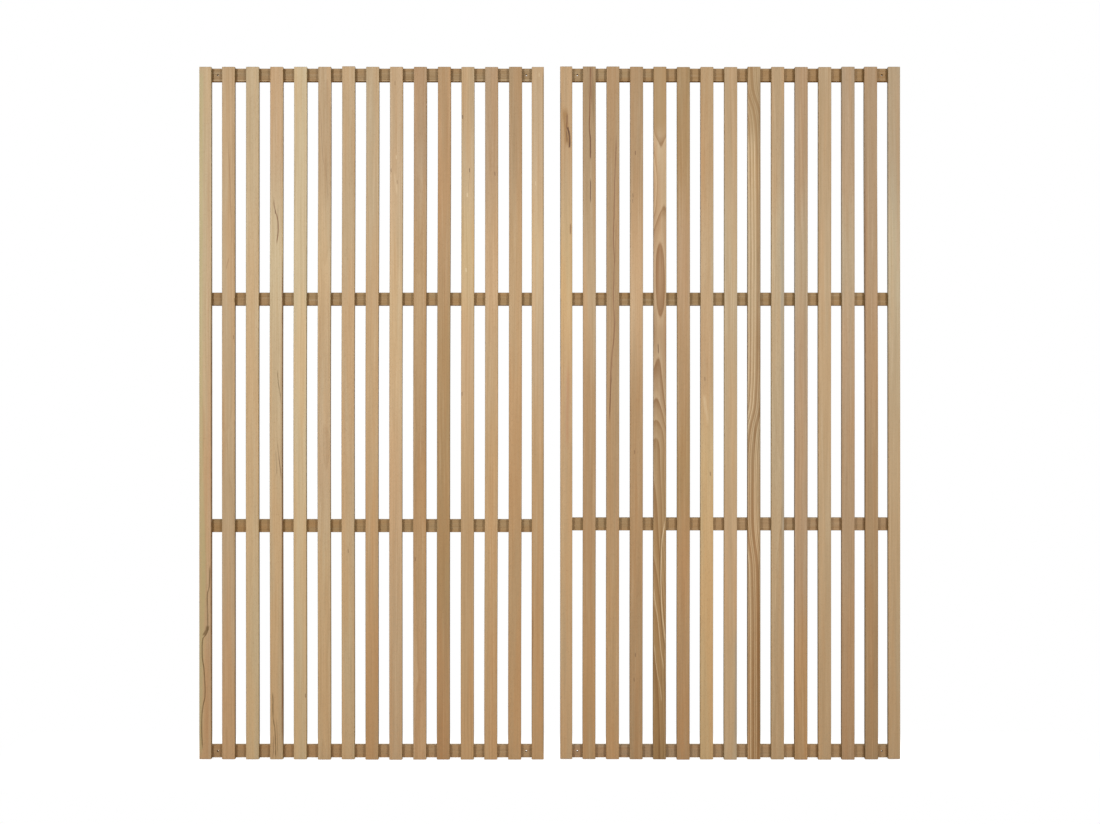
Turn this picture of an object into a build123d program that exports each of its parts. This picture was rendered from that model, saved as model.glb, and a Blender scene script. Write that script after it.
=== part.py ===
from build123d import *
import os

# A headboard for the wall: two panels side by side, each of upright slats screwed to four level rails.
# Lengths are in millimetres. X runs to the right seen from the front, the front faces -Y and Z is up.
# The origin is under the middle of the pair, where the backs of the slats lie on the fronts of the rails.

# Slats: the two outer ones of a panel are a little narrower, and each panel has its own gap
slat_length = 1600
slat_width = 30
outer_slat_width = 28
slat_thickness = 18
slat_edge_bevel = 1.5
slats_per_panel = 15
left_slat_gap = 24.9
right_slat_gap = 24.2

# Rails: behind the slats, and a little short of their ends and of the panel's sides
rail_height = 30
rail_thickness = 18
rail_edge_bevel = 1
rail_setback = 3
rail_names = ["bottom", "lower", "upper", "top"]
upper_rail_rise = 3
right_lower_rail_rise = 4

# The space between the two panels
panel_space = 37.6

# Holes for the screws into the wall, in the top and bottom rails
wall_hole_diameter = 4

# Countersunk wood screws, one where each slat crosses a rail, driven from behind
screw_length = 30
screw_diameter = 3.5
screw_head_diameter = 7
screw_head_height = 2.2
screw_clearance = 0.25
screw_sides = 6

os.makedirs("parts", exist_ok=True)

# Where everything stands, worked out from the sizes
slat_gaps = {"left": left_slat_gap, "right": right_slat_gap}
slat_numbers = range(1, slats_per_panel + 1)
panel_widths = {
    side: (slats_per_panel - 2) * slat_width + 2 * outer_slat_width + (slats_per_panel - 1) * gap
    for side, gap in slat_gaps.items()
}
pair_width = panel_widths["left"] + panel_space + panel_widths["right"]
panel_starts = {"left": -pair_width / 2, "right": pair_width / 2 - panel_widths["right"]}
lowest_rail_z = rail_setback + rail_height / 2
rail_pitch = (slat_length - 2 * lowest_rail_z) / (len(rail_names) - 1)
rail_rises = {
    ("left", "upper"): upper_rail_rise,
    ("right", "upper"): upper_rail_rise,
    ("right", "lower"): right_lower_rail_rise,
}


def width_of_slat(number):
    return outer_slat_width if number in (1, slats_per_panel) else slat_width


def slat_x(side, number):
    """The middle of a slat, counted from 1 at its panel's left side."""
    to_its_left = sum(width_of_slat(earlier) + slat_gaps[side] for earlier in range(1, number))
    return panel_starts[side] + to_its_left + width_of_slat(number) / 2


def rail_z(side, name):
    """The middle of a rail. They are evenly spaced, but for those that were set a little high."""
    return lowest_rail_z + rail_names.index(name) * rail_pitch + rail_rises.get((side, name), 0)


def wall_hole_x(side):
    """The middles of a panel's first and last gaps."""
    from_side = outer_slat_width + slat_gaps[side] / 2
    return panel_starts[side] + from_side, panel_starts[side] + panel_widths[side] - from_side


# One screw, with its head flush with the back of the rail. It is so small that six sides stand for round.
# The head is a cone that would end in the shank, and the point is all that goes into the slat.
rail_back = Plane.XZ.offset(-rail_thickness)
head_cone_height = screw_head_height * screw_head_diameter / (screw_head_diameter - screw_diameter)
with BuildPart() as screw:
    with BuildSketch(rail_back, mode=Mode.PRIVATE) as head:
        RegularPolygon(screw_head_diameter / 2, screw_sides)
    loft(sections=[head.sketch, Vertex(*rail_back.offset(head_cone_height).origin)], ruled=True)
    with BuildSketch(rail_back):
        RegularPolygon(screw_diameter / 2, screw_sides)
    extrude(amount=rail_thickness)
    with BuildSketch(Plane.XZ, mode=Mode.PRIVATE) as neck:
        RegularPolygon(screw_diameter / 2, screw_sides)
    loft(sections=[neck.sketch, Vertex(*rail_back.offset(screw_length).origin)], ruled=True)

# What one screw takes out of a rail: the countersink that its head sits in, and a clearance hole
with BuildPart() as screw_seat:
    add(screw.part)
    with BuildSketch(rail_back):
        RegularPolygon(screw_diameter / 2 + screw_clearance, screw_sides)
    extrude(amount=rail_thickness)

for side in slat_gaps:
    # Slats: every edge is eased, and each screw's point has cut its own hole in the back
    for number in slat_numbers:
        with BuildPart() as slat:
            with BuildSketch():
                with Locations((slat_x(side, number), -slat_thickness / 2)):
                    Rectangle(width_of_slat(number), slat_thickness)
            extrude(amount=slat_length)
            chamfer(slat.edges(), slat_edge_bevel)
            with Locations(*[(slat_x(side, number), 0, rail_z(side, name)) for name in rail_names]):
                add(screw.part, mode=Mode.SUBTRACT)
        slat.part.label = f"{side}_slat_{number:02d}"
        export_step(slat.part, f"parts/{slat.part.label}.step")

    for name in rail_names:
        # Rails: eased edges, a seat for each screw, and the wall holes in the top and bottom ones
        rail_start = Plane.YZ.offset(panel_starts[side] + rail_setback)
        screw_places = [(slat_x(side, number), 0, rail_z(side, name)) for number in slat_numbers]
        with BuildPart() as rail:
            with BuildSketch(rail_start):
                with Locations((rail_thickness / 2, rail_z(side, name))):
                    Rectangle(rail_thickness, rail_height)
            extrude(amount=panel_widths[side] - 2 * rail_setback)
            chamfer(rail.edges(), rail_edge_bevel)
            with Locations(*screw_places):
                add(screw_seat.part, mode=Mode.SUBTRACT)
            if name in (rail_names[0], rail_names[-1]):
                with BuildSketch(rail_back):
                    with Locations(*[(hole_x, rail_z(side, name)) for hole_x in wall_hole_x(side)]):
                        Circle(wall_hole_diameter / 2)
                extrude(amount=rail_thickness, mode=Mode.SUBTRACT)
        rail.part.label = f"{side}_{name}_rail"
        export_step(rail.part, f"parts/{rail.part.label}.step")

        with BuildPart() as rail_screws:
            with Locations(*screw_places):
                add(screw.part)
        rail_screws.part.label = f"{side}_{name}_rail_screws"
        export_step(rail_screws.part, f"parts/{rail_screws.part.label}.step")

print(f"pair {pair_width:.1f} wide, {slat_length} high, {slat_thickness + rail_thickness} deep")
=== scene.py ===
import math
import random
import bmesh
import bpy
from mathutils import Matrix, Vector


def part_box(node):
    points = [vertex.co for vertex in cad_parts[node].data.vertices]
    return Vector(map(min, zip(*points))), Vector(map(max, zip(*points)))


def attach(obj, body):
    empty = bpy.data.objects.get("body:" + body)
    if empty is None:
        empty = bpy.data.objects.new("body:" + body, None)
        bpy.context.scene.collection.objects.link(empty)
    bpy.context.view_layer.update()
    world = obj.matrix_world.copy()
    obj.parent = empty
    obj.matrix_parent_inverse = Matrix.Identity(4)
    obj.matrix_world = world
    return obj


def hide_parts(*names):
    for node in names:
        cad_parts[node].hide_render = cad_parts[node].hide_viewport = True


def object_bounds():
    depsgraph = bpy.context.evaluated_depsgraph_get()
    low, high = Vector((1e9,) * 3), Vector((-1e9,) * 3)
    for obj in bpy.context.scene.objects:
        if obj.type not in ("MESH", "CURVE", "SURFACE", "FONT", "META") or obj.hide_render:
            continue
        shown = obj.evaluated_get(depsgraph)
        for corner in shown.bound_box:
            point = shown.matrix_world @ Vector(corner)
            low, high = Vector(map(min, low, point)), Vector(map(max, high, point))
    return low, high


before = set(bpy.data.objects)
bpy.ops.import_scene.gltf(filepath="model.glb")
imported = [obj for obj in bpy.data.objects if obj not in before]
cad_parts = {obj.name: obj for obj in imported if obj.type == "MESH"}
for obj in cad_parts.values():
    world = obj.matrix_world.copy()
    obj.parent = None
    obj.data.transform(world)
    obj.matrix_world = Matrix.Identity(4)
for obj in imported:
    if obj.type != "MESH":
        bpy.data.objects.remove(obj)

# A slatted headboard: two panels side by side, each of upright beech slats screwed to four level rails.
# Lengths are in metres, in the frame's own axes: X to the right, the front faces -Y and Z is up.
cadLow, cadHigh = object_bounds()
panelSides = ("left", "right")
slatsPerPanel = 15
railNames = ("bottom", "lower", "upper", "top")
millimetre = 0.001


def middleX(node):
    low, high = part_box(node)
    return (low.x + high.x) / 2


def middleZ(node):
    low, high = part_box(node)
    return (low.z + high.z) / 2


# Camera and studio

cameraSettings = {
    "place": (0.0005, -5.818, 0.8024),
    "lens": 82.3,
    "sensor": 36,
}
studioSettings = {
    "lamps": {
        "lampLeft": {"place": (-1.9, -5.4, 2.5), "aim": (-0.55, 0, 1.12), "power": 14.4},
        "lampRight": {"place": (2.1, -6.2, 2.5), "aim": (0.75, 0, 1.06), "power": 16.4},
        "lampBehind": {"place": (0, 6, 2.8), "aim": (0, 0, 1), "power": 24},
        "lampLeftEnd": {"place": (-6, 0.2, 1.5), "aim": (-0.8, 0, 0.9), "power": 9},
        "lampRightEnd": {"place": (6, 0.2, 1.5), "aim": (0.8, 0, 0.9), "power": 9},
    },
    "lampSize": 0.9,
    "lampSpread": 50,
    "lampColour": (0.975, 0.99, 1),
    "backdropColour": (1, 1, 1, 1),
    "roomColour": (1, 0.9, 0.74, 1),
    "roomLight": 0.3,
    "floorSize": 60,
    "floorColour": (0.86, 0.86, 0.86, 1),
    "floorBounce": (0.6, 0.36, 0.16, 1),
    "floorLift": 0.82,
    "shadowReach": (0.05, 0.5),
}


def aimAt(thing, target):
    thing.rotation_euler = (Vector(target) - thing.location).to_track_quat("-Z", "Y").to_euler()


def addCamera():
    bpy.ops.object.camera_add(location=cameraSettings["place"], rotation=(math.radians(90), 0, 0))
    camera = bpy.context.object
    camera.name = "frontCamera"
    camera.data.lens = cameraSettings["lens"]
    camera.data.sensor_width = cameraSettings["sensor"]
    bpy.context.scene.camera = camera


def addLamps():
    # soft boxes with a grid, so their light falls away from where each one points: two in front, one
    # behind, and a weak one off each end
    for name, lamp in studioSettings["lamps"].items():
        bpy.ops.object.light_add(type="AREA", location=lamp["place"])
        light = bpy.context.object
        light.name = name
        light.data.size = studioSettings["lampSize"]
        light.data.spread = math.radians(studioSettings["lampSpread"])
        light.data.energy = lamp["power"]
        light.data.color = studioSettings["lampColour"]
        aimAt(light, lamp["aim"])


def addNode(tree, kind, inputs=(), **settings):
    # inputs is a list in socket order, or a dictionary by socket name: a socket is linked, a value is set
    node = tree.nodes.new("ShaderNode" + kind)
    for name, value in settings.items():
        setattr(node, name, value)
    for slot, value in inputs.items() if isinstance(inputs, dict) else enumerate(inputs):
        if isinstance(value, bpy.types.NodeSocket):
            tree.links.new(value, node.inputs[slot])
        elif value is not None:
            node.inputs[slot].default_value = value
    return node


def calc(tree, operation, *values):
    return addNode(tree, "Math", values, operation=operation).outputs[0]


def fit(tree, value, fromLow, fromHigh, toLow=0.0, toHigh=1.0):
    # eases value from one range to another, and holds it there
    inputs = [value, fromLow, fromHigh, toLow, toHigh]
    return addNode(tree, "MapRange", inputs, interpolation_type="SMOOTHSTEP").outputs[0]


def lightRoom():
    # white behind the object, and a dimmer, warmer light from all round
    world = bpy.data.worlds.new("room")
    bpy.context.scene.world = world
    world.use_nodes = True
    tree = world.node_tree
    tree.nodes.clear()
    seen = addNode(tree, "Background", [studioSettings["backdropColour"], 1.0])
    lit = addNode(tree, "Background", [studioSettings["roomColour"], studioSettings["roomLight"]])
    isCamera = addNode(tree, "LightPath").outputs["Is Camera Ray"]
    mix = addNode(tree, "MixShader", [isCamera, lit.outputs[0], seen.outputs[0]])
    addNode(tree, "OutputWorld", [mix.outputs[0]])


def addFloor():
    # pale paper that turns pure white a little way off, so that only the shadow close under the object
    # shows; its bounce is as warm as a wooden floor's
    bpy.ops.mesh.primitive_plane_add(size=studioSettings["floorSize"], location=(0, 0, 0))
    floor = bpy.context.object
    floor.name = "studioFloor"
    paper = bpy.data.materials.new("paleFloor")
    paper.use_nodes = True
    tree = paper.node_tree
    tree.nodes.clear()
    x, y, z = addNode(tree, "SeparateXYZ", [addNode(tree, "TexCoord").outputs["Object"]]).outputs
    beyondSide = calc(tree, "SUBTRACT", calc(tree, "ABSOLUTE", x), cadHigh.x)
    away = calc(tree, "MAXIMUM", beyondSide, calc(tree, "ABSOLUTE", y))
    matt = addNode(tree, "BsdfDiffuse", [studioSettings["floorColour"]])
    lift = addNode(tree, "Emission", [studioSettings["backdropColour"], studioSettings["floorLift"]])
    near = addNode(tree, "AddShader", [matt.outputs[0], lift.outputs[0]])
    far = addNode(tree, "Emission", [studioSettings["backdropColour"], 1.0])
    whiteness = fit(tree, away, *studioSettings["shadowReach"])
    seen = addNode(tree, "MixShader", [whiteness, near.outputs[0], far.outputs[0]])
    dull = addNode(tree, "BsdfDiffuse", [studioSettings["floorBounce"]])
    isCamera = addNode(tree, "LightPath").outputs["Is Camera Ray"]
    mix = addNode(tree, "MixShader", [isCamera, dull.outputs[0], seen.outputs[0]])
    addNode(tree, "OutputMaterial", [mix.outputs[0]])
    floor.data.materials.append(paper)


bpy.context.scene.view_settings.view_transform = "Standard"
addCamera()
addLamps()
lightRoom()
addFloor()
print("studio ready")


# Working by hand: selecting, editing and finishing a piece

shapingSettings = {
    "edgeSegments": 3,
    "edgeAngle": 60,
    "smoothAngle": 35,
    "squareOn": 0.9,
}


def pickOnly(piece):
    bpy.ops.object.select_all(action="DESELECT")
    piece.select_set(True)
    bpy.context.view_layer.objects.active = piece


def selectWhere(piece, kind, test):
    # selects the vertices, edges or faces that pass the test, in edit mode
    bpy.ops.mesh.select_mode(type=kind)
    bpy.ops.mesh.select_all(action="DESELECT")
    mesh = bmesh.from_edit_mesh(piece.data)
    for element in {"VERT": mesh.verts, "EDGE": mesh.edges, "FACE": mesh.faces}[kind]:
        if test(element):
            element.select_set(True)
    bmesh.update_edit_mesh(piece.data)


def facesY(sign):
    # a test for faces that look squarely along Y, to the back for 1 and to the front for -1
    return lambda face: face.normal.y * sign > shapingSettings["squareOn"]


def applyModifier(piece, kind, **settings):
    pickOnly(piece)
    bpy.ops.object.modifier_add(type=kind)
    modifier = piece.modifiers[-1]
    for name, value in settings.items():
        setattr(modifier, name, value)
    bpy.ops.object.modifier_apply(modifier=modifier.name)


def copyPiece(source, name):
    piece = source.copy()
    piece.data = source.data.copy()
    piece.name = name
    piece.data.name = name
    bpy.context.scene.collection.objects.link(piece)
    return piece


def joinPieces(pieces):
    pickOnly(pieces[0])
    for piece in pieces[1:]:
        piece.select_set(True)
    bpy.ops.object.join()
    return pieces[0]


def placeMesh(piece):
    # the place goes into the mesh, and the object stays at the origin
    pickOnly(piece)
    bpy.ops.object.transform_apply(location=True, rotation=True, scale=True)


def addBoard(name, low, high, grainAxis, cuts, edgeRadius):
    # a planed board between two corners, with even cuts across its grain and eased edges; grainAxis is 0
    # where the grain runs along X, and 2 where it runs along Z
    size = high - low

    def runsAlongGrain(edge):
        start, end = [vertex.co[grainAxis] for vertex in edge.verts]
        return abs(start - end) > size[grainAxis] / 2

    bpy.ops.object.select_all(action="DESELECT")
    bpy.ops.mesh.primitive_cube_add(size=1, location=(low + high) / 2, scale=size)
    board = bpy.context.object
    board.name = name
    placeMesh(board)
    bpy.ops.object.mode_set(mode="EDIT")
    selectWhere(board, "EDGE", runsAlongGrain)
    bpy.ops.mesh.subdivide(number_cuts=cuts)
    bpy.ops.object.mode_set(mode="OBJECT")
    applyModifier(
        board,
        "BEVEL",
        width=edgeRadius,
        segments=shapingSettings["edgeSegments"],
        limit_method="ANGLE",
        angle_limit=math.radians(shapingSettings["edgeAngle"]),
    )
    return board


def smoothPiece(piece):
    pickOnly(piece)
    bpy.ops.object.shade_smooth_by_angle(angle=math.radians(shapingSettings["smoothAngle"]))


def finishBoard(board):
    smoothPiece(board)
    applyModifier(board, "WEIGHTED_NORMAL", keep_sharp=True)


def dress(piece, material):
    piece.data.materials.clear()
    piece.data.materials.append(material)


# Slats: each stands a little out of true, and its ends are not quite level with its neighbours'

slatSettings = {
    "edgeRadius": 1.3 * millimetre,
    "cuts": 24,
    "swayHeights": (1.45, 0.8, 0.1),
    "swayReach": 0.72,
}
# a row for each slat of a panel, in millimetres: how far right of its even place it stands, how far it
# sways from there at the three heights, and what is missing at its top and bottom
leftSlatShapes = [
    (0, (0, 0, 0), (1.2, 1.6)),
    (-0.5, (0, -0.1, 0.2), (1.2, 1.3)),
    (-0.3, (0.3, -0.3, 0.3), (1.2, 1.2)),
    (0.2, (0.6, -0.8, 0.4), (1.2, 1.2)),
    (0, (1.1, -0.6, 0.3), (1.2, 1.2)),
    (0.7, (1.1, -0.7, 0.3), (1.2, 0.5)),
    (1.0, (1.2, -0.6, 0.1), (0, 1.3)),
    (1.3, (1.4, -0.5, -0.3), (1.2, 0.4)),
    (1.4, (1.3, -0.5, -0.4), (1.2, 0)),
    (1.8, (1.2, -0.5, -0.4), (1.3, 0.5)),
    (1.8, (1.7, -0.5, -1.0), (1.2, 0.6)),
    (2.0, (0.9, -0.2, -0.8), (1.5, 0.6)),
    (1.9, (0.6, 0.4, -1.5), (1.6, 0.5)),
    (2.0, (0.9, 0.3, -1.4), (1.2, 0.5)),
    (0.3, (-0.1, -0.1, -0.3), (1.5, 0.8)),
]
rightSlatShapes = [
    (0.2, (0, 0.2, 0), (0.4, 2.0)),
    (0.3, (0, 0.3, -0.8), (0.5, 1.8)),
    (0.2, (0.5, 0, -0.6), (0.5, 1.5)),
    (0.5, (0.5, 0.1, -0.7), (1.0, 1.4)),
    (0.2, (0.4, 0.1, -0.6), (1.0, 1.2)),
    (0.6, (0, 0.3, -0.6), (1.7, 0.3)),
    (0.4, (0.3, 0.2, -0.6), (1.5, 0.9)),
    (1.1, (0.3, 0.1, -0.7), (1.7, 0.3)),
    (0.8, (0.1, 0, -0.1), (1.0, 1.2)),
    (1.2, (0.2, 0.1, -0.3), (1.4, 1.0)),
    (1.3, (0.2, 0.1, -0.5), (1.6, 0.3)),
    (1.2, (0.4, -0.2, 0), (1.7, 0.3)),
    (1.2, (-0.1, 0.2, -0.1), (1.0, 0.3)),
    (0.6, (-1.8, 0.5, 0.5), (1.0, 1.0)),
    (0, (-0.5, 0, 0), (1.1, 1.8)),
]
slatShapes = {"left": leftSlatShapes, "right": rightSlatShapes}


def addSlatBlank(name, node):
    low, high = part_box(node)
    return addBoard(name, low, high, 2, slatSettings["cuts"], slatSettings["edgeRadius"])


def shapeSlat(slat, shift, shape, length):
    aside, sway, short = shape
    halfCut = length / slatSettings["cuts"] / 2
    bpy.ops.object.mode_set(mode="EDIT")
    bpy.ops.mesh.select_all(action="SELECT")
    bpy.ops.transform.translate(value=(shift + aside * millimetre, 0, 0))
    for height, sideways in zip(slatSettings["swayHeights"], sway):
        selectWhere(slat, "VERT", lambda vertex: abs(vertex.co.z - height) < halfCut)
        bpy.ops.transform.translate(
            value=(sideways * millimetre, 0, 0),
            use_proportional_edit=True,
            proportional_edit_falloff="SMOOTH",
            proportional_size=slatSettings["swayReach"],
        )
    topShort, bottomShort = short
    selectWhere(slat, "VERT", lambda vertex: vertex.co.z > length - halfCut)
    bpy.ops.transform.translate(value=(0, 0, -topShort * millimetre))
    selectWhere(slat, "VERT", lambda vertex: vertex.co.z < halfCut)
    bpy.ops.transform.translate(value=(0, 0, bottomShort * millimetre))
    bpy.ops.object.mode_set(mode="OBJECT")


def addSlats():
    blanks = {
        "inner": addSlatBlank("innerBlank", "left_slat_02"),
        "outer": addSlatBlank("outerBlank", "left_slat_01"),
    }
    slats = {}
    for side in panelSides:
        for number, shape in enumerate(slatShapes[side], start=1):
            node = f"{side}_slat_{number:02d}"
            low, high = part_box(node)
            blank = blanks["outer" if number in (1, slatsPerPanel) else "inner"]
            slat = copyPiece(blank, f"{side}Slat{number:02d}")
            vertices = slat.data.vertices
            fromX = sum(vertex.co.x for vertex in vertices) / len(vertices)
            pickOnly(slat)
            shapeSlat(slat, middleX(node) - fromX, shape, high.z - low.z)
            finishBoard(slat)
            slats[side, number] = slat
    for blank in blanks.values():
        bpy.data.objects.remove(blank)
    return slats


slats = addSlats()
print("slats made:", len(slats))


# Rails: a countersunk seat for every screw in the back, and the wall holes through the top and bottom ones

railSettings = {
    "edgeRadius": 0.9 * millimetre,
    "cuts": 29,
    "wallHoleRadius": 2 * millimetre,
    "seatRadius": 3.7 * millimetre,
    "seatDepth": 2.4 * millimetre,
    "shankRadius": 2 * millimetre,
    "overrun": 1 * millimetre,
    "roundness": 24,
}


def addScrewCutter(x, z, back):
    # a cone for the head that runs out of the back of the rail, and a straight hole on through it
    cone = railSettings["seatDepth"]
    bpy.ops.object.select_all(action="DESELECT")
    bpy.ops.mesh.primitive_cone_add(
        vertices=railSettings["roundness"],
        radius1=railSettings["seatRadius"],
        radius2=railSettings["shankRadius"],
        depth=cone,
        location=(x, back - cone / 2, z),
        rotation=(math.radians(90), 0, 0),
    )
    cutter = bpy.context.object
    placeMesh(cutter)
    bpy.ops.object.mode_set(mode="EDIT")
    selectWhere(cutter, "FACE", facesY(1))
    bpy.ops.mesh.extrude_region_move(TRANSFORM_OT_translate={"value": (0, railSettings["overrun"], 0)})
    selectWhere(cutter, "FACE", facesY(-1))
    through = back - cone + railSettings["overrun"]
    bpy.ops.mesh.extrude_region_move(TRANSFORM_OT_translate={"value": (0, -through, 0)})
    bpy.ops.object.mode_set(mode="OBJECT")
    return cutter


def addWallHoleCutter(x, z, back):
    bpy.ops.object.select_all(action="DESELECT")
    bpy.ops.mesh.primitive_cylinder_add(
        vertices=railSettings["roundness"],
        radius=railSettings["wallHoleRadius"],
        depth=back + 2 * railSettings["overrun"],
        location=(x, back / 2, z),
        rotation=(math.radians(90), 0, 0),
    )
    cutter = bpy.context.object
    placeMesh(cutter)
    return cutter


def cutHoles(rail, cutters):
    cutter = joinPieces(cutters)
    applyModifier(rail, "BOOLEAN", operation="DIFFERENCE", solver="EXACT", object=cutter)
    bpy.data.objects.remove(cutter)


def wallHolePlaces(side):
    # the middles of the first and last gaps
    nodes = [f"{side}_slat_{number:02d}" for number in (1, 2, slatsPerPanel - 1, slatsPerPanel)]
    boxes = [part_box(node) for node in nodes]
    return (boxes[0][1].x + boxes[1][0].x) / 2, (boxes[2][1].x + boxes[3][0].x) / 2


def addRails():
    rails = {}
    for side in panelSides:
        for name in railNames:
            node = f"{side}_{name}_rail"
            low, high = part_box(node)
            title = f"{side}{name.capitalize()}Rail"
            rail = addBoard(title, low, high, 0, railSettings["cuts"], railSettings["edgeRadius"])
            height = middleZ(node)
            cutters = [
                addScrewCutter(middleX(f"{side}_slat_{number:02d}"), height, high.y)
                for number in range(1, slatsPerPanel + 1)
            ]
            if name in (railNames[0], railNames[-1]):
                cutters += [addWallHoleCutter(x, height, high.y) for x in wallHolePlaces(side)]
            cutHoles(rail, cutters)
            finishBoard(rail)
            rails[side, name] = rail
    return rails


rails = addRails()
print("rails made:", len(rails))


# Screws: countersunk, with a cross recess, one made and then copied to every crossing

screwSettings = {
    "headRadius": 3.4 * millimetre,
    "headDepth": 2.2 * millimetre,
    "shankRadius": 1.75 * millimetre,
    "length": 30 * millimetre,
    "pointLength": 7 * millimetre,
    "pointShare": 0.15,
    "sunk": 0.2 * millimetre,
    "roundness": 16,
    "recessLength": 3.8 * millimetre,
    "recessWidth": 0.9 * millimetre,
    "recessDepth": 1.3 * millimetre,
    "recessTaper": 0.6,
    "turnSeed": 12,
}


def addScrew():
    # its head faces +Y, with the top of the head at the origin
    head = screwSettings["headDepth"]
    bpy.ops.object.select_all(action="DESELECT")
    bpy.ops.mesh.primitive_cone_add(
        vertices=screwSettings["roundness"],
        radius1=screwSettings["headRadius"],
        radius2=screwSettings["shankRadius"],
        depth=head,
        location=(0, -head / 2, 0),
        rotation=(math.radians(90), 0, 0),
    )
    screw = bpy.context.object
    screw.name = "screw"
    placeMesh(screw)
    bpy.ops.object.mode_set(mode="EDIT")
    selectWhere(screw, "FACE", facesY(-1))
    point = screwSettings["pointLength"]
    for part in (screwSettings["length"] - head - point, point):
        bpy.ops.mesh.extrude_region_move(TRANSFORM_OT_translate={"value": (0, -part, 0)})
    bpy.ops.transform.resize(value=(screwSettings["pointShare"],) * 3)
    bpy.ops.object.mode_set(mode="OBJECT")
    size = (screwSettings["recessLength"], 2 * screwSettings["recessDepth"], screwSettings["recessWidth"])
    taper = screwSettings["recessTaper"]
    for turn in (0, 90):
        bpy.ops.object.select_all(action="DESELECT")
        bpy.ops.mesh.primitive_cube_add(size=1, scale=size, rotation=(0, math.radians(turn), 0))
        bar = bpy.context.object
        placeMesh(bar)
        bpy.ops.object.mode_set(mode="EDIT")
        selectWhere(bar, "FACE", facesY(-1))
        bpy.ops.transform.resize(value=(taper, 1, taper))
        bpy.ops.object.mode_set(mode="OBJECT")
        applyModifier(screw, "BOOLEAN", operation="DIFFERENCE", solver="EXACT", object=bar)
        bpy.data.objects.remove(bar)
    smoothPiece(screw)
    return screw


def addScrews():
    # each screw is turned by chance, as they stop where they are tight
    random.seed(screwSettings["turnSeed"])
    screw = addScrew()
    groups = {}
    for side in panelSides:
        for name in railNames:
            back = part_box(f"{side}_{name}_rail")[1].y
            height = middleZ(f"{side}_{name}_rail")
            copies = []
            for number in range(1, slatsPerPanel + 1):
                one = copyPiece(screw, f"screw{number:02d}")
                one.rotation_euler.y = random.uniform(0, math.radians(90))
                one.location = (middleX(f"{side}_slat_{number:02d}"), back - screwSettings["sunk"], height)
                copies.append(one)
            group = joinPieces(copies)
            group.name = f"{side}{name.capitalize()}Screws"
            placeMesh(group)
            groups[side, name] = group
    bpy.data.objects.remove(screw)
    return groups


screws = addScrews()
print("groups of screws made:", len(screws))


# Beech: rings round a far-off pith, fibres along the grain, rays and pores.
# The tones are screen colours, as a paint chart gives them

tones = {
    "cream": (199, 180, 144),
    "straw": (193, 171, 135),
    "wheat": (196, 170, 127),
    "sand": (190, 164, 129),
    "biscuit": (186, 161, 125),
    "silver": (184, 163, 130),
    "pearl": (187, 169, 138),
    "fawn": (183, 157, 121),
    "honey": (187, 158, 118),
    "tan": (183, 153, 113),
    "taupe": (176, 149, 116),
    "rose": (178, 154, 124),
    "ash": (179, 162, 134),
    "mist": (188, 174, 145),
    "copper": (178, 148, 108),
    "chestnut": (174, 142, 102),
    "drab": (170, 143, 107),
    "hazel": (165, 137, 96),
    "walnut": (161, 131, 87),
    "umber": (155, 126, 84),
    "lichen": (178, 172, 128),
    "ivory": (216, 198, 164),
    "bark": (98, 66, 40),
    "olive": (124, 102, 64),
    "moss": (104, 82, 44),
    "nutmeg": (122, 84, 52),
    "amber": (150, 112, 62),
    "slate": (150, 146, 136),
    "rust": (176, 124, 88),
    "soot": (70, 50, 34),
}


def toLinear(channel):
    share = channel / 255
    return share / 12.92 if share <= 0.04045 else ((share + 0.055) / 1.055) ** 2.4


def tone(name):
    return (*[toLinear(channel) for channel in tones[name]], 1)


def vectorCalc(tree, operation, *values):
    return addNode(tree, "VectorMath", values, operation=operation).outputs[0]


def blendColour(tree, mode, amount, colour, over):
    # 6 and 7 are the Mix node's two colours, and 2 is the colour that comes out
    inputs = {0: amount, 6: colour, 7: over}
    return addNode(tree, "Mix", inputs, data_type="RGBA", blend_type=mode).outputs[2]


def stretchedNoise(tree, place, stretch, seed, detail=2.0, roughness=0.5, output="Fac"):
    # stretch is how many features there are in a metre, along each axis
    moved = vectorCalc(tree, "ADD", vectorCalc(tree, "MULTIPLY", place, stretch), seed)
    inputs = {"Vector": moved, "Scale": 1.0, "Detail": detail, "Roughness": roughness}
    return addNode(tree, "TexNoise", inputs, noise_dimensions="3D").outputs[output]


def addRamp(tree, share, stops):
    # stops are pairs of a place from 0 to 1 and a colour, in order
    node = addNode(tree, "ValToRGB", [share])
    ramp = node.color_ramp
    ramp.interpolation = "EASE"
    for element, (position, colour) in zip(ramp.elements, (stops[0], stops[-1])):
        element.position = position
        element.color = colour
    for position, colour in stops[1:-1]:
        ramp.elements.new(position).color = colour
    return node.outputs["Color"]


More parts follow.
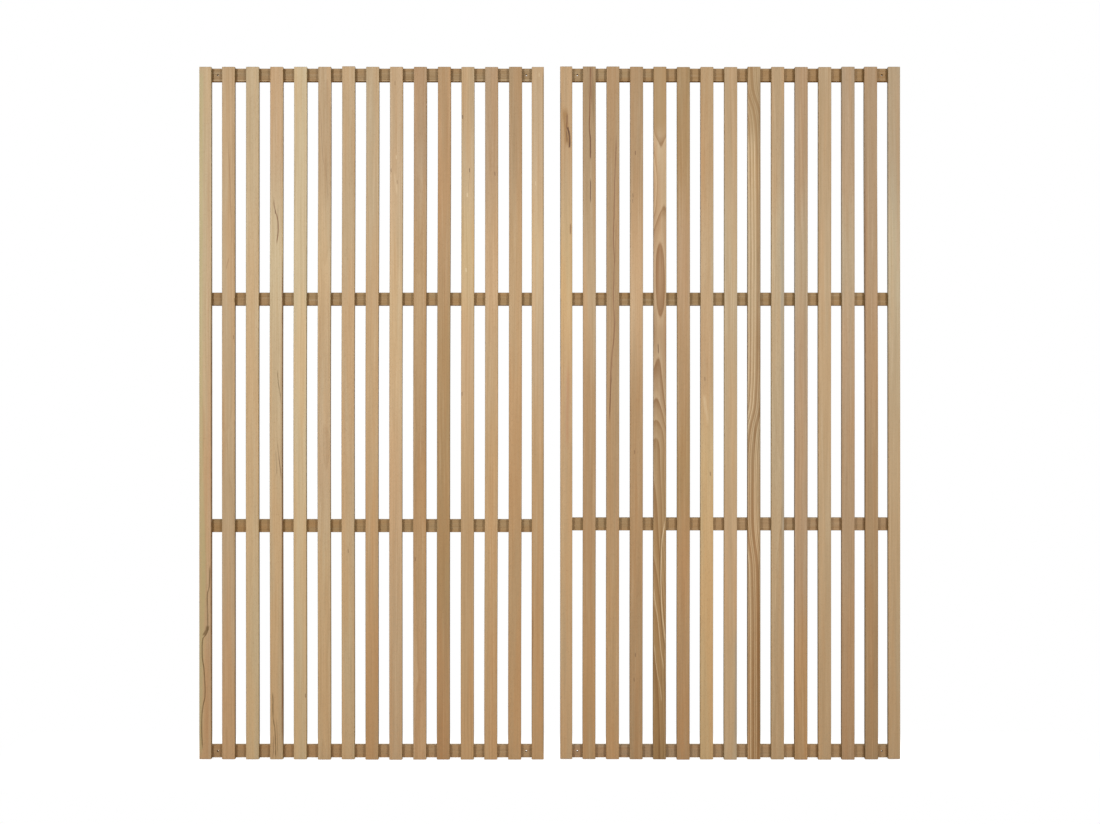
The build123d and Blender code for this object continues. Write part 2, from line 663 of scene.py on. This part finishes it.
beechSettings = {
    "seedSteps": (3.7, 5.3, 7.1),
    # noises: how many features there are in a metre, across the board, through it and along it
    "wander": (12, 12, 2.6),
    "drift": (42, 42, 2.4),
    "streaks": (340, 340, 5),
    "fibres": (1800, 1800, 34),
    "flecks": (1500, 1500, 230),
    "uneven": 150.0,
    # each ring is pale at first and then darker up to its hard edge
    "ringProfile": ((0.0, 0.0), (0.4, 0.2), (0.8, 0.65), (0.93, 1.0), (0.985, 0.2), (1.0, 0.0)),
    "ringStrength": (0.4, 1.0),
    # colours to multiply by
    "warm": (1.035, 0.985, 0.93, 1),
    "cool": (0.975, 1.01, 1.045, 1),
    "ringShade": (0.66, 0.55, 0.42, 1),
    "streakShade": (0.74, 0.66, 0.56, 1),
    "fleckShade": (0.62, 0.5, 0.4, 1),
    "fibreShade": (0.7, 0.62, 0.52, 1),
    # ranges for fit: from what to what, and to which two values where they aren't 0 and 1
    "coolToWarm": (0.36, 0.64),
    "streakAmount": (0.42, 0.72, 0.0, 0.34),
    "paleAmount": (0.46, 0.28, 0.0, 0.16),
    "gleamReach": (0.36, 0.03),
    "fleckEdge": (0.66, 0.76),
    "fibreAmount": (0.4, 0.75, 0.0, 0.16),
    "roughness": (0.3, 0.7, 0.5, 0.64),
    # how strong the flecks are, and how far each layer stands proud
    "fleckAmount": 0.4,
    "fibreHeight": 0.6,
    "fleckHeight": -0.5,
    "ringHeight": -0.3,
}


def makeBeechGroup():
    # Place is in the board's own frame: its middle is x = 0, y = 0, and the grain runs along z
    group = bpy.data.node_groups.new("beech", "ShaderNodeTree")
    given = {"Place": "Vector", "Pith": "Vector", "Tone": "Color"}
    for name in ("Rise", "Unevenness", "RingWidth", "RingDepth", "RingEdge", "Gleam", "Waviness", "Seed"):
        given[name] = "Float"
    made = {"Colour": "Color", "Roughness": "Float", "Height": "Float"}
    for direction, sockets in (("INPUT", given), ("OUTPUT", made)):
        for name, kind in sockets.items():
            group.interface.new_socket(name=name, in_out=direction, socket_type="NodeSocket" + kind)
    start = group.nodes.new("NodeGroupInput").outputs
    end = group.nodes.new("NodeGroupOutput").inputs
    place = start["Place"]
    seed = addNode(group, "CombineXYZ", [start["Seed"]] * 3).outputs[0]
    seed = vectorCalc(group, "MULTIPLY", seed, beechSettings["seedSteps"])

    def noise(name, **settings):
        return stretchedNoise(group, place, beechSettings[name], seed, **settings)

    def shade(colour, amount, name):
        return blendColour(group, "MULTIPLY", amount, colour, beechSettings[name])

    # how far each point is from the pith, which wanders
    wander = vectorCalc(group, "SUBTRACT", noise("wander", detail=3, output="Color"), (0.5, 0.5, 0.5))
    scaled = {0: wander, "Scale": start["Waviness"]}
    wander = addNode(group, "VectorMath", scaled, operation="SCALE").outputs[0]
    fromPith = vectorCalc(group, "SUBTRACT", place, start["Pith"])
    fromPith = vectorCalc(group, "MULTIPLY", vectorCalc(group, "ADD", fromPith, wander), (1, 1, 0))
    radius = addNode(group, "VectorMath", [fromPith], operation="LENGTH").outputs["Value"]

    # rings of uneven width and strength
    spread = {"W": calc(group, "MULTIPLY", radius, beechSettings["uneven"]), "Scale": 1.0, "Detail": 1.0}
    uneven = addNode(group, "TexNoise", spread, noise_dimensions="1D").outputs["Fac"]
    count = calc(group, "SUBTRACT", calc(group, "DIVIDE", radius, start["RingWidth"]), start["Rise"])
    count = calc(group, "ADD", count, calc(group, "MULTIPLY", uneven, start["Unevenness"]))
    within = calc(group, "FRACT", count)
    stops = [(position, (dark, dark, dark, 1)) for position, dark in beechSettings["ringProfile"]]
    ring = calc(group, "POWER", addRamp(group, within, stops), start["RingEdge"])
    chance = addNode(group, "TexWhiteNoise", {"W": calc(group, "FLOOR", count)}, noise_dimensions="1D")
    strength = [chance.outputs["Value"], 0.0, 1.0, *beechSettings["ringStrength"]]
    strength = addNode(group, "MapRange", strength).outputs[0]
    rings = calc(group, "MULTIPLY", ring, strength)

    drift = fit(group, noise("drift", detail=2), *beechSettings["coolToWarm"])
    streaks = noise("streaks", detail=4, roughness=0.62)
    fibres = noise("fibres", detail=2)
    flecks = fit(group, noise("flecks", detail=0), *beechSettings["fleckEdge"])
    # the gleam, a pale band at the start of each ring, is mixed into the colour: it is paler wood and also
    # a painted sheen of the figure
    gleam = calc(group, "MULTIPLY", strength, start["Gleam"])
    gleam = calc(group, "MULTIPLY", fit(group, within, *beechSettings["gleamReach"]), gleam)

    warm = shade(start["Tone"], 1.0, "warm")
    cool = shade(start["Tone"], 1.0, "cool")
    colour = blendColour(group, "MIX", drift, cool, warm)
    colour = shade(colour, calc(group, "MULTIPLY", rings, start["RingDepth"]), "ringShade")
    colour = shade(colour, fit(group, streaks, *beechSettings["streakAmount"]), "streakShade")
    for paleness in (gleam, fit(group, streaks, *beechSettings["paleAmount"])):
        colour = blendColour(group, "MIX", paleness, colour, tone("ivory"))
    colour = shade(colour, calc(group, "MULTIPLY", flecks, beechSettings["fleckAmount"]), "fleckShade")
    colour = shade(colour, fit(group, fibres, *beechSettings["fibreAmount"]), "fibreShade")

    height = 0.0
    for layer, name in ((fibres, "fibreHeight"), (flecks, "fleckHeight"), (rings, "ringHeight")):
        height = calc(group, "MULTIPLY_ADD", layer, beechSettings[name], height)
    group.links.new(colour, end["Colour"])
    group.links.new(fit(group, streaks, *beechSettings["roughness"]), end["Roughness"])
    group.links.new(height, end["Height"])
    return group


beechGroup = makeBeechGroup()

# How a board was sawn: pith is where the heart of the tree was, across and behind, in millimetres

grainKinds = {
    "plain": {
        "pith": (25, 60), "ringWidth": 2.6, "ringDepth": 0.26, "ringEdge": 1,
        "gleam": 0, "waviness": 9, "unevenness": 1.6,
    },
    "fine": {
        "pith": (90, 40), "ringWidth": 2, "ringDepth": 0.22, "ringEdge": 1,
        "gleam": 0, "waviness": 5, "unevenness": 1.6,
    },
    "arched": {
        "pith": (-6, 44), "ringWidth": 2.8, "ringDepth": 0.5, "ringEdge": 1,
        "gleam": 0, "waviness": 12, "unevenness": 1.6,
    },
    "lined": {
        "pith": (10, 90), "ringWidth": 4.6, "ringDepth": 0.9, "ringEdge": 1,
        "gleam": 0.3, "waviness": 4, "unevenness": 0.8,
    },
    "bold": {
        "pith": (-70, 40), "ringWidth": 5.4, "ringDepth": 1.5, "ringEdge": 1,
        "gleam": 0.8, "waviness": 3, "unevenness": 1.2,
    },
    "figured": {
        "pith": (0, 40), "ringWidth": 3.5, "ringDepth": 2.1, "ringEdge": 1.7,
        "gleam": 0.25, "waviness": 1.4, "unevenness": 0,
    },
}
woodSettings = {
    "toneEnds": (0.12, 0.88),
    "pithChance": 14,
    "leanChance": 9,
    "curveReach": 40,
    "mostRings": 12,
    "endGrain": (0.7, 0.62, 0.52, 1),
    # painted shade, multiplied into the narrow sides and eased edges
    "paintedSideShade": (0.72, 0.71, 0.58, 1),
    "sawnRoughness": 0.86,
    "turnedAway": (0.3, 0.8),
    "bump": 0.35,
    "bumpDistance": 0.25 * millimetre,
    "specular": 0.32,
    "halfThickness": 9 * millimetre,
    "veinDepth": 7 * millimetre,
    "veinPatches": (500, 500, 28),
    "veinPatchEdge": (0.3, 0.55),
    "veinSeedStep": 1.7,
    "slatSeeds": {"left": 0, "right": 20},
    "railSeeds": {"left": 60, "right": 70},
}


def addCurve(tree, height, points, length, low, high):
    # a drawn line: points are pairs of a height and a value between low and high, in any order
    node = addNode(tree, "FloatCurve", {"Value": calc(tree, "DIVIDE", height, length)})
    curve = node.mapping.curves[0]
    points = [(place / length, (value - low) / (high - low)) for place, value in sorted(points)]
    curve.points[0].location = (0, points[0][1])
    curve.points[-1].location = (1, points[-1][1])
    for place, value in points:
        if 0 < place < 1:
            curve.points.new(place, value)
    node.mapping.update()
    return calc(tree, "ADD", calc(tree, "MULTIPLY", node.outputs["Value"], high - low), low)


def addVein(tree, colour, place, vein, length, seed):
    # draws a streak, knot or stain in the front of a board
    x, y, z = addNode(tree, "SeparateXYZ", [place]).outputs
    reach = woodSettings["curveReach"] * millimetre
    path = [(height, across * millimetre) for height, across in vein["path"]]
    line = addCurve(tree, z, path, length, -reach, reach)
    waver = stretchedNoise(tree, place, (0, 0, vein["waver"]), (seed, seed, seed))
    waver = calc(tree, "MULTIPLY", calc(tree, "SUBTRACT", waver, 0.5), vein["wander"] * 2 * millimetre)
    aside = calc(tree, "ABSOLUTE", calc(tree, "SUBTRACT", calc(tree, "SUBTRACT", x, line), waver))
    inside = fit(tree, aside, vein["width"] * millimetre / 2, vein["core"] * millimetre / 2)
    low, high = min(path)[0], max(path)[0]
    fade = vein["fade"] * (high - low)
    front = -woodSettings["halfThickness"]
    deep = front + woodSettings["veinDepth"]
    for value, nothing, full in ((z, low, low + fade), (z, high, high - fade), (y, deep, front)):
        inside = calc(tree, "MULTIPLY", inside, fit(tree, value, nothing, full))
    patches = stretchedNoise(tree, place, woodSettings["veinPatches"], (seed, 0, 0), detail=3)
    patches = fit(tree, patches, *woodSettings["veinPatchEdge"], 1 - vein["broken"], 1.0)
    amount = calc(tree, "MULTIPLY", calc(tree, "MULTIPLY", inside, patches), vein["strength"])
    return blendColour(tree, "MIX", amount, colour, tone(vein["tone"]))


def addTone(tree, z, length, toneNames):
    # evenly spaced from the top of the board to its bottom
    low, high = woodSettings["toneEnds"]
    step = (high - low) / (len(toneNames) - 1)
    stops = [(high - step * number, tone(name)) for number, name in enumerate(toneNames)]
    return addRamp(tree, calc(tree, "DIVIDE", z, length), stops[::-1])


def addPith(tree, z, length, look, seed):
    # the pith was to either side by chance, or where the figure asks for it
    chance = random.Random(seed)
    usual = grainKinds[look["grain"]]["pith"]
    across, behind = [value + chance.uniform(-1, 1) * woodSettings["pithChance"] for value in usual]
    across *= chance.choice((-1, 1))
    lean = chance.uniform(-1, 1) * woodSettings["leanChance"]
    path = [(0, across - lean), (length, across + lean)]
    if look["pithPath"]:
        across, behind = usual
        path = [(height, across + drawn) for height, drawn in look["pithPath"]]
    path = [(height, drawn * millimetre) for height, drawn in path]
    lowest, highest = [pick(drawn for height, drawn in path) for pick in (min, max)]
    line = addCurve(tree, z, path, length, lowest - millimetre, highest + millimetre)
    return addNode(tree, "CombineXYZ", [line, behind * millimetre, 0.0]).outputs[0]


def makeBeech(name, node, look, seed, turned=False):
    # turned is for a rail, whose grain runs along X
    low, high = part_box(node)
    middle = (low + high) / 2
    length = high.x - low.x if turned else high.z
    material = bpy.data.materials.new(name)
    material.use_nodes = True
    tree = material.node_tree
    tree.nodes.clear()
    coordinates = addNode(tree, "TexCoord").outputs
    where = {"Vector": coordinates["Object"], "Location": (-middle.x, -middle.y, 0)}
    if turned:
        where["Location"] = (-middle.z, -middle.y, middle.x)
        where["Rotation"] = (0, math.radians(90), 0)
    place = addNode(tree, "Mapping", where).outputs[0]
    z = addNode(tree, "SeparateXYZ", [place]).outputs["Z"]
    if turned:
        z = calc(tree, "ADD", z, length / 2)
    rise = 0.0
    if look["rise"]:
        rise = addCurve(tree, z, look["rise"], length, 0, woodSettings["mostRings"])
    grain = grainKinds[look["grain"]]
    beech = addNode(tree, "Group", node_tree=beechGroup, inputs={
        "Place": place,
        "Pith": addPith(tree, z, length, look, seed),
        "Rise": rise,
        "Unevenness": grain["unevenness"],
        "RingWidth": grain["ringWidth"] * millimetre,
        "RingDepth": grain["ringDepth"] * look["ringShare"],
        "RingEdge": grain["ringEdge"],
        "Gleam": grain["gleam"],
        "Waviness": grain["waviness"] * millimetre,
        "Seed": seed,
        "Tone": addTone(tree, z, length, look["tones"]),
    })
    colour = beech.outputs["Colour"]
    for number, vein in enumerate(look["veins"]):
        colour = addVein(tree, colour, place, vein, length, seed + number * woodSettings["veinSeedStep"])

    # the narrow sides and eased edges are darkened with painted shade and are duller than the planed faces,
    # and the sawn ends drink the most light
    facing = addNode(tree, "SeparateXYZ", [coordinates["Normal"]]).outputs
    roughness = beech.outputs["Roughness"]
    for axis, shade in zip("ZX" if turned else "XZ", ("paintedSideShade", "endGrain")):
        turnedAway = fit(tree, calc(tree, "ABSOLUTE", facing[axis]), *woodSettings["turnedAway"])
        colour = blendColour(tree, "MULTIPLY", turnedAway, colour, woodSettings[shade])
        sawn = calc(tree, "MULTIPLY", turnedAway, woodSettings["sawnRoughness"])
        roughness = calc(tree, "MAXIMUM", roughness, sawn)
    bump = addNode(tree, "Bump", {
        "Strength": woodSettings["bump"],
        "Distance": woodSettings["bumpDistance"],
        "Height": beech.outputs["Height"],
    })
    shader = addNode(tree, "BsdfPrincipled", {
        "Base Color": colour,
        "Roughness": roughness,
        "Normal": bump.outputs[0],
        "Specular IOR Level": woodSettings["specular"],
    })
    addNode(tree, "OutputMaterial", [shader.outputs[0]])
    return material


# What each board looks like. Heights are in metres, and what is across a board is in millimetres

knotSettings = {
    "reach": 0.006,
    "slant": 0.5,
}


def streak(path, width, strength, toneName, core=0, broken=0.6, fade=0.25, wander=1.5, waver=22):
    # path is pairs of a height and how far right of the middle, core is how wide it is at full strength,
    # broken how patchy it is, and fade the share of its length that each end takes to die away. It strays
    # from its path by up to wander, with waver bends in a metre
    return {
        "path": path,
        "width": width,
        "strength": strength,
        "tone": toneName,
        "core": core,
        "broken": broken,
        "fade": fade,
        "wander": wander,
        "waver": waver,
    }


def knot(height, across, width=2.8, strength=0.85, toneName="bark"):
    top = (height + knotSettings["reach"], across)
    bottom = (height - knotSettings["reach"], across + knotSettings["slant"])
    return streak([top, bottom], width, strength, toneName, broken=0)


def wood(grain, tones, veins=(), ringShare=1, rise=(), pithPath=()):
    # tones run from top to bottom, veins are the marks that can be seen from a step away, and ringShare
    # makes the rings fainter or stronger. rise and pithPath draw the arches of a figured board, by height:
    # how many rings its front has cut, and where their middle is
    return {
        "grain": grain,
        "tones": tones,
        "veins": veins,
        "ringShare": ringShare,
        "rise": rise,
        "pithPath": pithPath,
    }


leftSlatLooks = [
    wood("plain", ["straw", "straw", "sand", "sand"], [
        streak([(1.6, -12), (0.7, -12), (0.4, -6), (0.3, -10), (0, -14)], 22, 0.6, "lichen", core=6,
               broken=0.1, fade=0.02),
        streak([(1.6, 9), (0.9, 7), (0.4, 12)], 11, 0.2, "rust", broken=0.2),
        streak([(0.3, 9), (0.2, 3), (0, 6)], 16, 0.16, "rust", broken=0.3),
        streak([(0.454, 10.8), (0.401, 9.2), (0.377, 4.6), (0.33, 5.5), (0.299, 5.5), (0.281, -5),
                (0.254, -7.4), (0.208, -3.2), (0.155, -0.7), (0.126, -5), (0.083, -8.5), (0.019, -6.7)], 4,
               0.85, "moss", core=1, broken=0.3, fade=0.05, wander=0.8),
        streak([(0.312, 5.5), (0.298, 4), (0.284, -3)], 11, 0.75, "moss", core=4, broken=0.1),
        streak([(1.2, 14), (0, 13.6)], 5, 0.6, "nutmeg", core=2, wander=0.4),
    ]),
    wood("arched", ["biscuit", "biscuit", "sand"], [
        streak([(1.5, -4), (1.3, 4), (1.13, 7)], 3.4, 0.45, "nutmeg", fade=0.4),
        streak([(1.16, 0), (1.13, -5)], 3, 0.5, "nutmeg"),
        knot(1.06, 13, 3, 0.8, "moss"),
        knot(0.975, 11, 2.4, 0.8),
    ], ringShare=0.7),
    wood("fine", ["straw", "straw", "cream"]),
    wood("plain", ["sand", "cream", "straw", "straw", "straw", "straw"], [
        streak([(1.3, -6.5), (1.265, -2), (1.25, 2.5), (1.23, 4.5), (1.185, 1)], 4, 0.9, "nutmeg", core=0.8,
               broken=0.4, fade=0.15, wander=0.8),
        knot(1.264, -2, 3),
        streak([(1.285, 4.5), (1.2, 3)], 2.2, 0.6, "bark"),
        streak([(0.905, 2), (0.87, 5), (0.82, 10)], 3.2, 0.8, "moss", core=0.5),
        streak([(0.74, 3), (0.7, 6), (0.64, 11)], 3, 0.85, "bark", core=0.5),
        streak([(0.72, -1), (0.67, 1), (0.65, -2)], 2.6, 0.6, "bark"),
        streak([(1.18, 14.4), (0, 14)], 5, 0.85, "nutmeg", core=2, broken=0.3, fade=0.08, wander=0.5),
        streak([(0.16, -8), (0.1, -7), (0.06, -3), (0, -1)], 4, 0.8, "moss", core=1, fade=0.1),
        streak([(0.1, 1), (0, 4)], 2.6, 0.65, "moss"),
        streak([(0.06, -6), (0, -8)], 3, 0.75, "bark"),
    ]),
    wood("fine", ["cream", "cream", "cream"], [knot(0.148, 12.5)]),
    wood("arched", ["fawn", "straw", "silver", "sand", "straw", "straw"], [
        streak([(1.53, -8), (1.4, -3), (1.33, 6)], 3, 0.4, "nutmeg"),
        streak([(1.4, 4), (1.28, 9)], 2.6, 0.4, "nutmeg"),
    ], ringShare=0.8),
    wood("fine", ["biscuit", "biscuit", "straw"], [knot(0.482, 1)]),
    wood("fine", ["silver", "honey", "tan"]),
    wood("plain", ["sand", "straw", "sand", "sand"], [
        knot(1.36, -10),
        knot(1.333, 4, 2.2, 0.7),
        knot(1.561, -1, 2.2, 0.7),
        knot(1.39, 2, 4, 0.6, "ivory"),
        streak([(1.36, -1), (1.3, 3)], 8, 0.4, "ivory", broken=0.9),
    ]),
    wood("arched", ["taupe", "copper", "tan", "copper", "tan", "sand"], [knot(0.463, -9.5)]),
    wood("fine", ["chestnut", "chestnut", "hazel", "hazel", "hazel", "chestnut"]),
    wood("plain", ["biscuit", "wheat", "sand", "honey", "tan", "honey"], [
        knot(1.483, -9.5, 3.4, 0.9, "soot"),
        knot(1.36, 6.5, 3, 0.9, "soot"),
        streak([(1.37, 8), (1.3, 3)], 1.8, 0.35, "bark"),
        knot(1.303, 1, 5, 0.7, "ivory"),
        knot(1.13, -1.5, 5, 0.8, "ivory"),
        knot(0.844, -11),
    ]),
    wood("plain", ["taupe", "sand", "biscuit", "honey", "honey", "honey"], [knot(1.352, 10)]),
    wood("fine", ["drab", "tan", "tan", "copper", "copper", "tan"]),
    wood("fine", ["sand", "straw", "sand", "tan", "copper", "tan"], [
        streak([(1.6, 13), (0, 13)], 6, 0.55, "olive", fade=0.02, wander=0.4),
        streak([(0.4, -13), (0.33, -11), (0.2, -13.5), (0, -13)], 3, 0.7, "bark", core=0.8, wander=0.6),
        knot(1.58, 3, 3, 0.7, "ivory"),
        knot(1.33, -5, 3, 0.6, "ivory"),
    ]),
]
rightSlatLooks = [
    wood("fine", ["fawn", "wheat", "fawn", "honey", "biscuit"], [
        streak([(1.51, -3), (1.41, 3)], 20, 0.75, "amber", core=5, broken=0.7, fade=0.2),
        streak([(1.495, 2), (1.45, 1)], 5, 0.85, "nutmeg", core=1, broken=0.5),
        streak([(1.462, 3.5), (1.445, 7), (1.43, 8.5), (1.41, 7.4)], 5.5, 1, "bark", core=2.4, broken=0.3,
               fade=0.1),
        streak([(1.455, 1), (1.42, 2)], 4, 0.7, "bark", core=0.8),
        streak([(1.24, 10), (1.21, 10)], 5, 0.7, "nutmeg", core=1),
        knot(1.52, -12, 4, 0.5, "slate"),
        streak([(1.6, -13), (0.8, -13)], 4, 0.65, "moss", core=1, broken=0.8, fade=0.1, wander=0.4),
        streak([(0.93, 4), (0.7, 2)], 14, 0.4, "rust", broken=0.1),
    ]),
    wood("fine", ["drab", "fawn", "drab", "drab", "copper"], [
        streak([(1.6, 3), (1.5, 1.5), (1.46, 0.5), (1.43, 2.5), (1.385, 3)], 4.6, 0.95, "nutmeg", core=1.2,
               broken=0.3, fade=0.03, wander=0.7),
        streak([(1.46, 1), (1.42, 3), (1.38, 3)], 3, 0.9, "bark", core=0.8),
        streak([(1.62, 7), (1.5, 6)], 3, 0.8, "nutmeg", core=0.6),
        streak([(1.62, -3), (1.52, -2)], 2.4, 0.6, "nutmeg"),
        streak([(1.6, 10), (1.45, 9)], 10, 0.4, "moss", broken=0.2, fade=0.4),
        streak([(1.345, 3), (1.28, 3)], 3.6, 0.95, "bark", core=1, broken=0.1),
    ]),
    wood("plain", ["drab", "drab", "tan"], [
        streak([(1.45, 8.8), (1.37, 6), (1.25, 3), (1.2, 2), (1.15, 3.5), (1.1, 2.5), (1.06, 2), (1.0, 3.5),
                (0.92, -3), (0.83, -6), (0.77, -8)], 3.8, 0.85, "nutmeg", core=0.8, broken=0.35, fade=0.06,
               wander=1),
        streak([(1.07, 6), (1.0, 5), (0.93, 0), (0.87, -3)], 2.4, 0.6, "nutmeg"),
        streak([(1.25, 8), (1.14, 5)], 2.6, 0.5, "nutmeg"),
        streak([(0.9, -2), (0.84, -5), (0.78, -7)], 3, 0.6, "bark", core=0.8),
        streak([(0.72, 10), (0.5, 9)], 4, 0.35, "rust"),
    ]),
    wood("plain", ["drab", "sand", "chestnut", "chestnut", "drab"], [
        knot(1.4, -2, 3, 0.9),
        knot(1.302, -7.5, 2.8, 0.9),
        knot(1.289, -8, 2.4, 0.8),
        knot(0.71, -4, 2.6, 0.8),
        knot(0.242, -2.5, 2.8, 0.8),
        knot(0.185, -5, 2.8, 0.8),
    ]),
    wood(
        "figured",
        ["sand", "taupe", "taupe", "drab", "hazel", "umber"],
        rise=[(1.6, 2.8), (1.453, 2.7), (1.43, 2.2), (1.416, 2), (1.35, 1.7), (1.284, 2), (1.24, 2.6),
              (1.198, 3), (1.15, 3.32), (1.06, 3.32), (1.014, 3), (0.98, 2.75), (0.931, 3), (0.837, 4),
              (0.786, 5), (0.745, 6), (0.69, 6.7), (0.6, 7.3), (0.5, 7.8), (0.37, 9), (0.21, 10.3),
              (0.05, 10.7)],
        pithPath=[(1.6, 0), (1.416, 3), (1.284, 10), (1.195, 1), (1.024, 2), (0.931, -3), (0.837, -8),
                  (0.75, -9), (0.65, -16), (0.4, -18), (0, -14)],
        veins=[
            streak([(1.7, 0), (1.42, 2.7)], 60, 0.72, "walnut", core=40, broken=0.1, fade=0.2),
            streak([(0.84, 0), (0, 0)], 60, 0.35, "walnut", core=40, broken=0.1, fade=0.1),
            streak([(0.962, -4), (0.935, -3)], 3.2, 0.8, "bark", core=1, broken=0.5),
            # the ivory lines are paler wood and also a painted sheen of the figure
            streak([(0.56, 12), (0.5, 5), (0.42, 3), (0.34, 6), (0.26, 13)], 3.6, 0.7, "ivory", core=1,
                   broken=0.3, fade=0.1, wander=0.8),
            streak([(0.54, 4), (0.46, 1), (0.38, 1), (0.3, 6), (0.24, 12)], 3, 0.75, "moss", core=0.5,
                   broken=0.3, fade=0.1, wander=0.8),
            streak([(0.4, -13), (0.33, -5), (0.25, 3), (0.2, 9)], 3.4, 0.6, "ivory", fade=0.1, wander=0.8),
            streak([(0.27, -12), (0.2, -5), (0.13, 4)], 3, 0.55, "ivory", fade=0.1),
        ],
    ),
    wood("fine", ["hazel", "taupe", "drab", "hazel", "chestnut", "chestnut"]),
    wood("fine", ["tan", "silver", "fawn", "wheat", "wheat", "wheat"], [
        knot(0.879, -4.5, 3),
        knot(0.66, 8, 3),
        streak([(0.85, -6), (0.77, 1)], 12, 0.45, "ivory", broken=0.9),
    ]),
    wood("fine", ["fawn", "pearl", "silver", "biscuit", "sand", "pearl"], [
        streak([(0.33, 14), (0, 13)], 10, 0.6, "slate", broken=0.2),
    ]),
    wood(
        "bold",
        ["straw", "pearl", "fawn", "silver", "biscuit", "tan"],
        pithPath=[(1.6, -14), (1.556, -12), (1.44, 10), (1.3, 12), (0.95, 12), (0.83, 8), (0.669, -12),
                  (0.565, -12), (0.424, 0), (0, 2)],
        veins=[
            streak([(1.7, 0), (1.4, 0)], 60, 0.55, "umber", core=40, broken=0.2),
            # the two moss lines along the edges paint the shade of the eased edges and the sides beside
            # them
            streak([(1.6, 15), (0, 14)], 16, 0.4, "moss", core=2, broken=0.3, fade=0.04, wander=3),
            streak([(0.55, -14), (0, -13)], 6, 0.5, "moss", broken=0.1),
        ],
    ),
    wood("arched", ["fawn", "pearl", "silver", "silver", "silver", "silver"], [
        streak([(1.55, 13), (1.1, 12), (0.8, 14), (0.2, 13)], 13, 0.5, "slate", broken=0.2, fade=0.1,
               wander=3, waver=8),
        streak([(0.6, 11), (0.5, 8)], 5, 0.35, "moss"),
    ], ringShare=0.6),
    wood("arched", ["taupe", "ash", "rose", "rose", "rose", "tan"], ringShare=0.9),
    wood("fine", ["fawn", "silver", "biscuit"]),
    wood("fine", ["rose", "ash", "rose", "taupe", "taupe", "taupe"]),
    wood("fine", ["taupe", "taupe", "drab", "drab"], [
        streak([(1.6, -13), (0.6, -13)], 6, 0.4, "bark", broken=0.2),
    ], ringShare=1.6),
    wood("fine", ["ash", "mist", "silver", "biscuit", "biscuit", "silver"], [
        streak([(1.6, 9), (1.1, 8)], 9, 0.2, "rust", broken=0.2, fade=0.1),
    ]),
]
slatLooks = {"left": leftSlatLooks, "right": rightSlatLooks}
# the rails' tones are darkest on the upper rails and lightest on the bottom ones: painted light, evening
# out the lamps' pool of light and its fall-off towards the floor
railLooks = {
    ("left", "top"): wood("lined", ["hazel", "hazel"]),
    ("left", "upper"): wood("fine", ["umber", "walnut"]),
    ("left", "lower"): wood("plain", ["walnut", "hazel"]),
    ("left", "bottom"): wood("fine", ["copper", "tan"]),
    ("right", "top"): wood("fine", ["hazel", "walnut"]),
    ("right", "upper"): wood("fine", ["umber", "walnut"]),
    ("right", "lower"): wood("plain", ["hazel", "drab"]),
    ("right", "bottom"): wood("fine", ["taupe", "tan"]),
}

for (side, number), slat in slats.items():
    title = f"{side}Slat{number:02d}Beech"
    seed = woodSettings["slatSeeds"][side] + number
    dress(slat, makeBeech(title, f"{side}_slat_{number:02d}", slatLooks[side][number - 1], seed))
for (side, name), rail in rails.items():
    seed = woodSettings["railSeeds"][side] + railNames.index(name)
    title = f"{side}{name.capitalize()}RailBeech"
    dress(rail, makeBeech(title, f"{side}_{name}_rail", railLooks[side, name], seed, turned=True))
print("wood finished")


# Screws: zinc plate with duller clouds in it

zincSettings = {
    "bright": (0.78, 0.76, 0.68, 1),
    "dull": (0.52, 0.49, 0.41, 1),
    "clouds": (420, 420, 420),
    "grain": (2600, 2600, 2600),
    "dullness": (0.35, 0.7),
    "roughness": (0.3, 0.7, 0.28, 0.5),
    "bump": 0.2,
    "bumpDistance": 0.05 * millimetre,
}


def makeZinc():
    material = bpy.data.materials.new("zincPlate")
    material.use_nodes = True
    tree = material.node_tree
    tree.nodes.clear()
    place = addNode(tree, "TexCoord").outputs["Object"]
    clouds = stretchedNoise(tree, place, zincSettings["clouds"], (0, 0, 0), detail=4)
    grain = stretchedNoise(tree, place, zincSettings["grain"], (4, 4, 4), detail=2)
    dullness = fit(tree, clouds, *zincSettings["dullness"])
    bump = addNode(tree, "Bump", {
        "Strength": zincSettings["bump"],
        "Distance": zincSettings["bumpDistance"],
        "Height": grain,
    })
    shader = addNode(tree, "BsdfPrincipled", {
        "Base Color": blendColour(tree, "MIX", dullness, zincSettings["bright"], zincSettings["dull"]),
        "Metallic": 1.0,
        "Roughness": fit(tree, clouds, *zincSettings["roughness"]),
        "Normal": bump.outputs[0],
    })
    addNode(tree, "OutputMaterial", [shader.outputs[0]])
    return material


zinc = makeZinc()
for group in screws.values():
    dress(group, zinc)
print("screws finished")


# What each piece replaces, and the body it rides on

for (side, number), slat in slats.items():
    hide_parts(f"{side}_slat_{number:02d}")
for (side, name), rail in rails.items():
    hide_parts(f"{side}_{name}_rail")
for (side, name), group in screws.items():
    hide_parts(f"{side}_{name}_rail_screws")
for piece in [*slats.values(), *rails.values(), *screws.values()]:
    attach(piece, "root")
